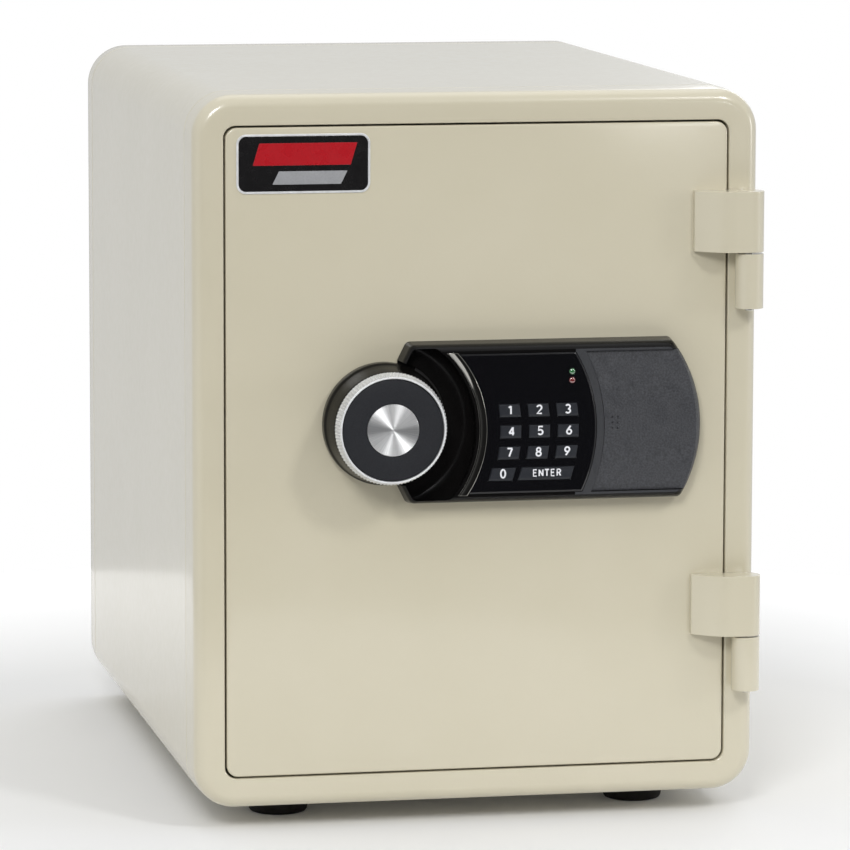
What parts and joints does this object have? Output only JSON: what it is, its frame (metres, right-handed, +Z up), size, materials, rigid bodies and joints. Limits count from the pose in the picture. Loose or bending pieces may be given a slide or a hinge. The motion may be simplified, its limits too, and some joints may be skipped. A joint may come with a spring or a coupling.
{
  "type": "in room safe",
  "caption": "Free-standing fire-resistant safe: rounded cream cabinet, hinged front door with a round knob, boltwork and a push-button lock.",
  "frame": {"origin": "on the floor, under the middle of the object's whole box", "axes": "+Z up, -Y out of the door's face, +X towards the hinges"},
  "size_m": [0.3524, 0.503, 0.452],
  "materials": {
    "cream_paint": "gloss",
    "inner_coating": "satin",
    "cast_fill": "matte",
    "seal_strip": "matte",
    "black_rubber": "matte",
    "bright_steel": "satin",
    "black_housing": "satin",
    "badge_enamel": "gloss",
    "bright_chrome": "polished",
    "gloss_panel": "polished",
    "green_lens": "gloss",
    "red_lens": "gloss",
    "board_green": "satin",
    "battery_jacket": "satin",
    "knob_black": "satin",
    "knob_insert": "matte",
    "satin_aluminium": "satin",
    "cover_grey": "matte",
    "key_black": "satin"
  },
  "bodies": {
    "cabinet": {"outer_casing": "cream_paint", "front_frame": "cream_paint", "rear_panel": "cream_paint", "fire_insulation": "cast_fill", "inner_liner": "inner_coating", "shelf": "inner_coating", "strike_plate": "bright_steel", "door_seal": "seal_strip", "hinge_barrel_upper": "cream_paint", "hinge_barrel_lower": "cream_paint", "hinge_pin_upper": "bright_steel", "hinge_pin_lower": "bright_steel", "foot_front_left": "black_rubber", "foot_front_right": "black_rubber", "foot_rear_left": "black_rubber", "foot_rear_right": "black_rubber"},
    "door": {"door_panel": "cream_paint", "door_insulation": "cast_fill", "door_liner": "inner_coating", "mechanism_cover": "inner_coating", "cover_screw_1": "bright_steel", "cover_screw_2": "bright_steel", "cover_screw_3": "bright_steel", "cover_screw_4": "bright_steel", "hinge_leaf_upper": "cream_paint", "hinge_leaf_lower": "cream_paint", "badge": "badge_enamel", "lock_base": "black_housing", "lock_fascia": "black_housing", "chrome_strip": "bright_chrome", "keypad_panel": "gloss_panel", "led_green": "green_lens", "led_red": "red_lens", "circuit_board": "board_green", "battery_1": "battery_jacket", "battery_2": "battery_jacket", "battery_3": "battery_jacket", "battery_4": "battery_jacket", "solenoid_body": "bright_steel"},
    "knob": {"knob_skirt": "knob_black", "knob_ring": "satin_aluminium", "knob_face": "knob_insert", "knob_disc": "satin_aluminium", "spindle": "bright_steel"},
    "boltwork": {"bolt_carriage": "bright_steel", "dead_bolt_upper": "bright_steel", "dead_bolt_lower": "bright_steel"},
    "latch": {"latch_plunger": "bright_steel"},
    "battery_door": {"battery_cover": "cover_grey"},
    "button_1": {"key_1": "key_black"},
    "button_2": {"key_2": "key_black"},
    "button_3": {"key_3": "key_black"},
    "button_4": {"key_4": "key_black"},
    "button_5": {"key_5": "key_black"},
    "button_6": {"key_6": "key_black"},
    "button_7": {"key_7": "key_black"},
    "button_8": {"key_8": "key_black"},
    "button_9": {"key_9": "key_black"},
    "button_0": {"key_0": "key_black"},
    "button_enter": {"key_enter": "key_black"}
  },
  "joints": [
    {"name": "door_swing", "type": "hinge", "parent": "cabinet", "child": "door", "pos_m": [0.16755, -0.2225, 0.233], "axis": [0, 0, 1], "range_deg": [0, 175]},
    {"name": "knob_turn", "type": "hinge", "parent": "door", "child": "knob", "pos_m": [-0.05995, -0.2135, 0.251], "axis": [0, -1, 0], "range_deg": [0, 90]},
    {"name": "bolt_throw", "type": "slide", "parent": "door", "child": "boltwork", "axis": [-1, 0, 0], "range_m": [0, 0.01697]},
    {"name": "latch_drop", "type": "slide", "parent": "door", "child": "latch", "axis": [0, 0, -1], "range_m": [0, 0.005], "stiffness_N_per_m": 150, "springref_m": -0.003},
    {"name": "battery_cover_slide", "type": "slide", "parent": "door", "child": "battery_door", "axis": [1, 0, 0], "range_m": [0, 0.008]},
    {"name": "press_1", "type": "slide", "parent": "door", "child": "button_1", "axis": [0, 1, 0], "range_m": [0, 0.0008], "stiffness_N_per_m": 400, "springref_m": -0.001},
    {"name": "press_2", "type": "slide", "parent": "door", "child": "button_2", "axis": [0, 1, 0], "range_m": [0, 0.0008], "stiffness_N_per_m": 400, "springref_m": -0.001},
    {"name": "press_3", "type": "slide", "parent": "door", "child": "button_3", "axis": [0, 1, 0], "range_m": [0, 0.0008], "stiffness_N_per_m": 400, "springref_m": -0.001},
    {"name": "press_4", "type": "slide", "parent": "door", "child": "button_4", "axis": [0, 1, 0], "range_m": [0, 0.0008], "stiffness_N_per_m": 400, "springref_m": -0.001},
    {"name": "press_5", "type": "slide", "parent": "door", "child": "button_5", "axis": [0, 1, 0], "range_m": [0, 0.0008], "stiffness_N_per_m": 400, "springref_m": -0.001},
    {"name": "press_6", "type": "slide", "parent": "door", "child": "button_6", "axis": [0, 1, 0], "range_m": [0, 0.0008], "stiffness_N_per_m": 400, "springref_m": -0.001},
    {"name": "press_7", "type": "slide", "parent": "door", "child": "button_7", "axis": [0, 1, 0], "range_m": [0, 0.0008], "stiffness_N_per_m": 400, "springref_m": -0.001},
    {"name": "press_8", "type": "slide", "parent": "door", "child": "button_8", "axis": [0, 1, 0], "range_m": [0, 0.0008], "stiffness_N_per_m": 400, "springref_m": -0.001},
    {"name": "press_9", "type": "slide", "parent": "door", "child": "button_9", "axis": [0, 1, 0], "range_m": [0, 0.0008], "stiffness_N_per_m": 400, "springref_m": -0.001},
    {"name": "press_0", "type": "slide", "parent": "door", "child": "button_0", "axis": [0, 1, 0], "range_m": [0, 0.0008], "stiffness_N_per_m": 400, "springref_m": -0.001},
    {"name": "press_enter", "type": "slide", "parent": "door", "child": "button_enter", "axis": [0, 1, 0], "range_m": [0, 0.0008], "stiffness_N_per_m": 400, "springref_m": -0.001}
  ],
  "couplings": [
    {"joint": "bolt_throw", "follows": "knob_turn", "m_per_rad": 0.010804}
  ]
}
